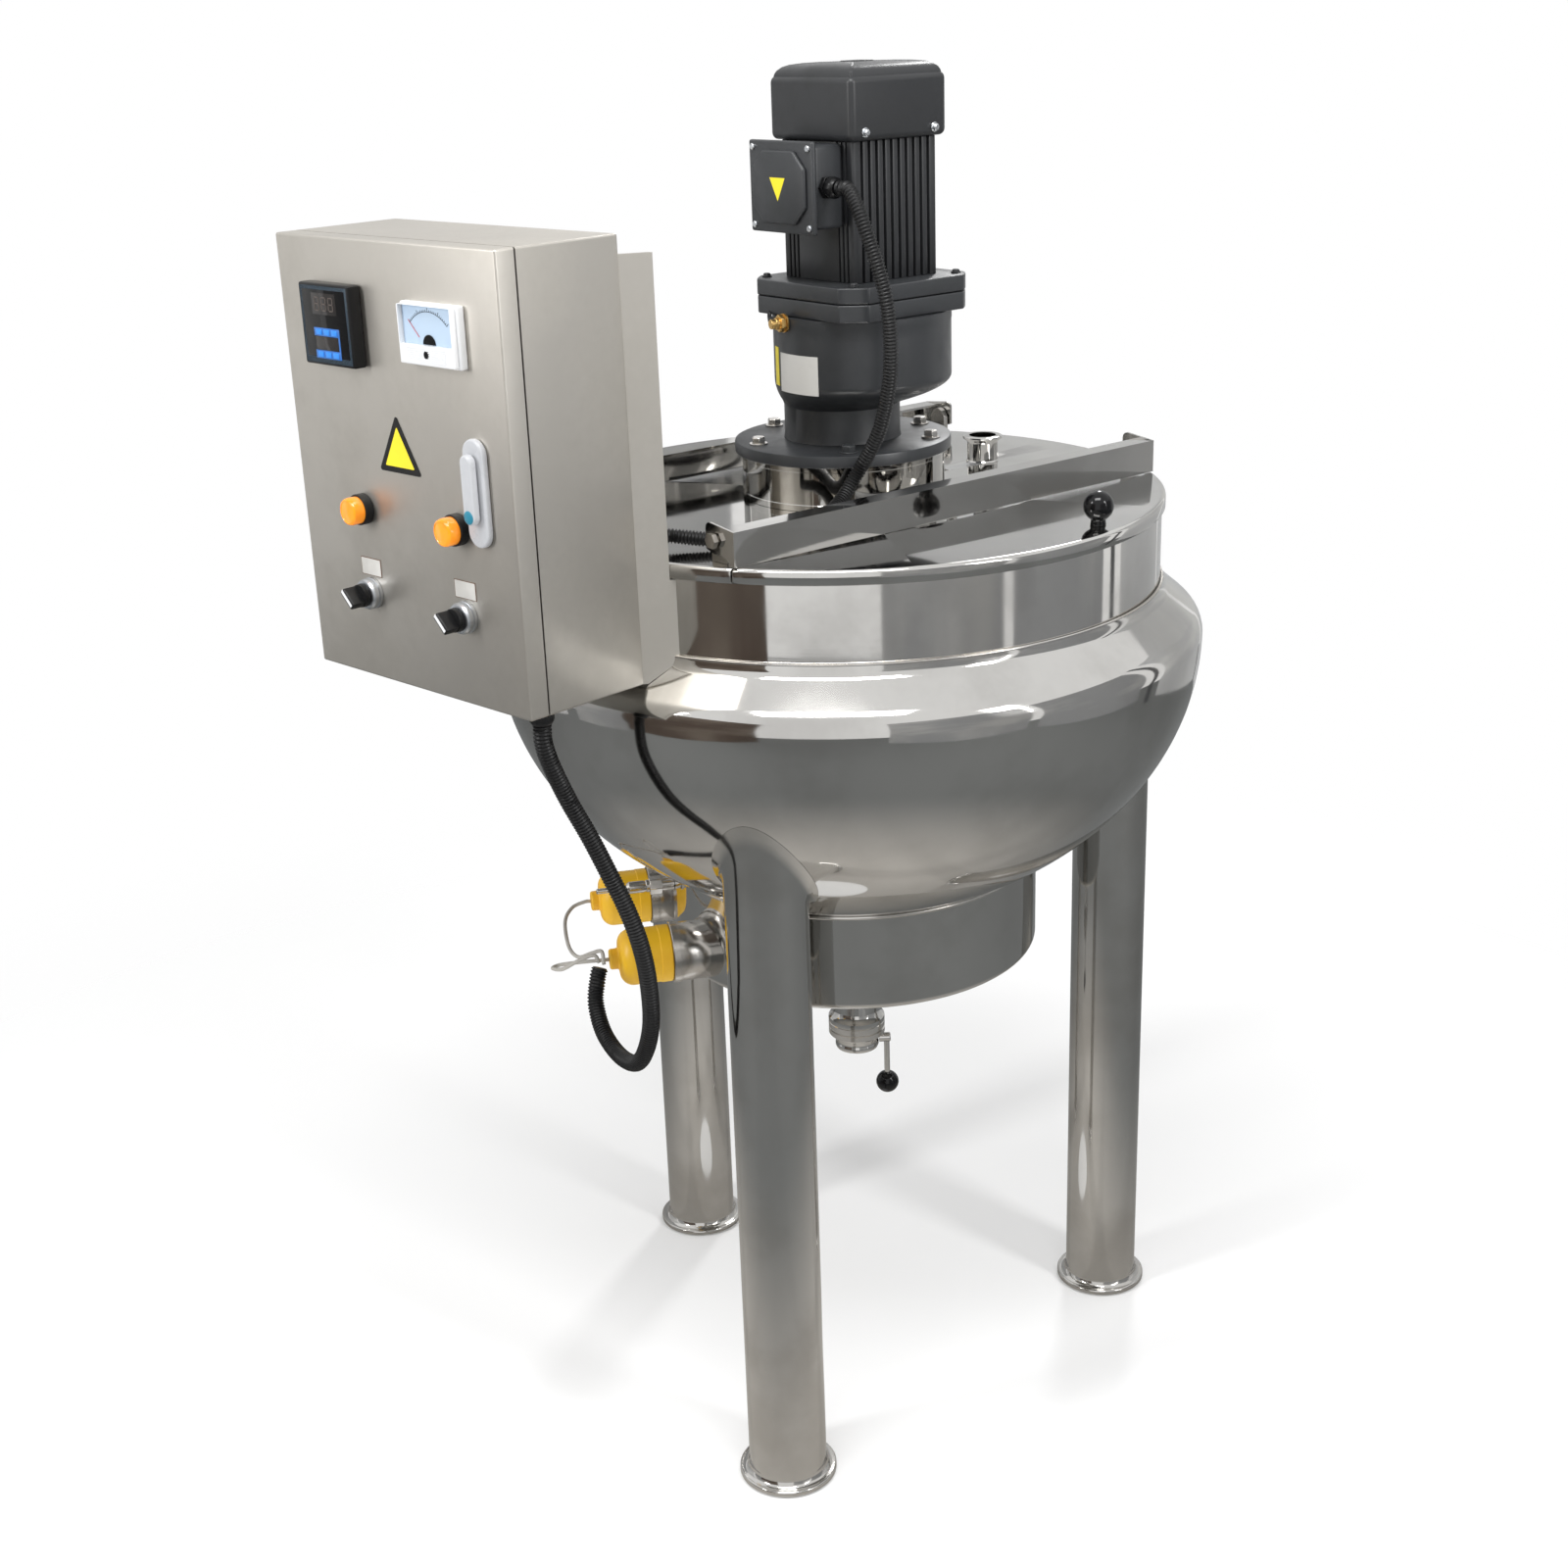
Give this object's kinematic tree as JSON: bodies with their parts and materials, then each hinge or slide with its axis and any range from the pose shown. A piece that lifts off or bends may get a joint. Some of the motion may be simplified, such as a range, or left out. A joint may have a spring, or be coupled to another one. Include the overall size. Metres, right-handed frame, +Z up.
{
  "type": "jacketed kettle",
  "caption": "Free-standing steel jacketed kettle on tubular legs, with hinged lid flaps, a gearmotor stirrer, electric heaters and a control cabinet.",
  "frame": {"origin": "at the floor, in the middle of the bounding box measured without the conduits and heater leads", "axes": "+Z up; the control cabinet is at the front, -Y; +X to the right seen from the front"},
  "size_m": [0.744, 0.908, 1.43],
  "materials": {
    "polished_steel": "polished stainless",
    "brushed_steel": "brushed stainless",
    "dark_paint": "satin grey-black paint",
    "black_plastic": "satin",
    "yellow_plastic": "satin",
    "amber_lens": "clear lens",
    "clear_plastic": "clear face",
    "brass": "plain",
    "grey_lead": "braided sleeve"
  },
  "bodies": {
    "kettle": {"adapter_ring": "dark_paint", "agitator": "polished_steel", "bracket_arm_left": "brushed_steel", "bracket_arm_right": "brushed_steel", "cabinet_body": "brushed_steel", "cabinet_gland": "black_plastic", "door_hinge_lower": "brushed_steel", "door_hinge_upper": "brushed_steel", "fan_hood": "dark_paint", "gear_housing": "dark_paint", "heater_cap_front": "yellow_plastic", "heater_cap_rear": "yellow_plastic", "heater_conduit": "black_plastic", "heater_drum": "polished_steel", "heater_gland": "black_plastic", "heater_lead_front": "grey_lead", "heater_lead_rear": "grey_lead", "heater_socket_front": "polished_steel", "heater_socket_rear": "polished_steel", "hinge_lug_left_back": "polished_steel", "hinge_lug_left_front": "polished_steel", "hinge_lug_right_back": "polished_steel", "hinge_lug_right_front": "polished_steel", "inlet_ferrule": "polished_steel", "inner_pot": "polished_steel", "jacket_shell": "polished_steel", "leg_front": "polished_steel", "leg_left": "polished_steel", "leg_right": "polished_steel", "lid_bridge": "polished_steel", "motor_body": "dark_paint", "motor_conduit": "black_plastic", "motor_gland": "black_plastic", "motor_pedestal": "polished_steel", "mounting_flange": "dark_paint", "mounting_plate": "brushed_steel", "oil_probe": "brushed_steel", "outlet_clamp": "polished_steel", "outlet_pipe": "polished_steel", "outlet_valve": "polished_steel", "terminal_box": "dark_paint", "vent_plug": "brass"},
    "flap_right": {"lid_flap_right": "polished_steel", "flap_bar_right": "polished_steel", "flap_knob_right": "black_plastic"},
    "flap_left": {"lid_flap_left": "polished_steel", "flap_bar_left": "polished_steel", "flap_knob_left": "black_plastic"},
    "door": {"cabinet_door": "brushed_steel", "temperature_controller": "black_plastic", "voltmeter": "clear_plastic", "lamp_left": "amber_lens", "lamp_right": "amber_lens", "switch_bezel_left": "brushed_steel", "switch_bezel_right": "brushed_steel", "lock_plate": "polished_steel"},
    "left_switch": {"switch_knob_left": "black_plastic"},
    "right_switch": {"switch_knob_right": "black_plastic"},
    "lock": {"lock_lever": "polished_steel"},
    "drain_lever": {"valve_lever": "polished_steel"}
  },
  "joints": [
    {"name": "right_flap_hinge", "type": "hinge", "parent": "kettle", "child": "flap_right", "pos_m": [0.148, 0.08207, 1.028], "axis": [0, -1, 0], "range_deg": [0, 90]},
    {"name": "left_flap_hinge", "type": "hinge", "parent": "kettle", "child": "flap_left", "pos_m": [-0.148, 0.08207, 1.028], "axis": [0, 1, 0], "range_deg": [0, 90]},
    {"name": "door_hinge", "type": "hinge", "parent": "kettle", "child": "door", "pos_m": [-0.1959, -0.41425, 1.0935], "axis": [0, 0, -1], "range_deg": [0, 120]},
    {"name": "left_switch_turn", "type": "hinge", "parent": "door", "child": "left_switch", "pos_m": [-0.08988, -0.43445, 0.9775], "axis": [0.1357, -0.9907, 0], "range_deg": [-90, 0]},
    {"name": "right_switch_turn", "type": "hinge", "parent": "door", "child": "right_switch", "pos_m": [0.04833, -0.41552, 0.9775], "axis": [0.1357, -0.9907, 0], "range_deg": [-90, 0]},
    {"name": "lock_turn", "type": "hinge", "parent": "door", "child": "lock", "pos_m": [0.08224, -0.40886, 1.1225], "axis": [0.1357, -0.9907, 0], "range_deg": [0, 90]},
    {"name": "drain_lever_turn", "type": "hinge", "parent": "kettle", "child": "drain_lever", "pos_m": [0, 0.08207, 0.3674], "axis": [0.6293, 0.7771, 0], "range_deg": [0, 90]}
  ]
}
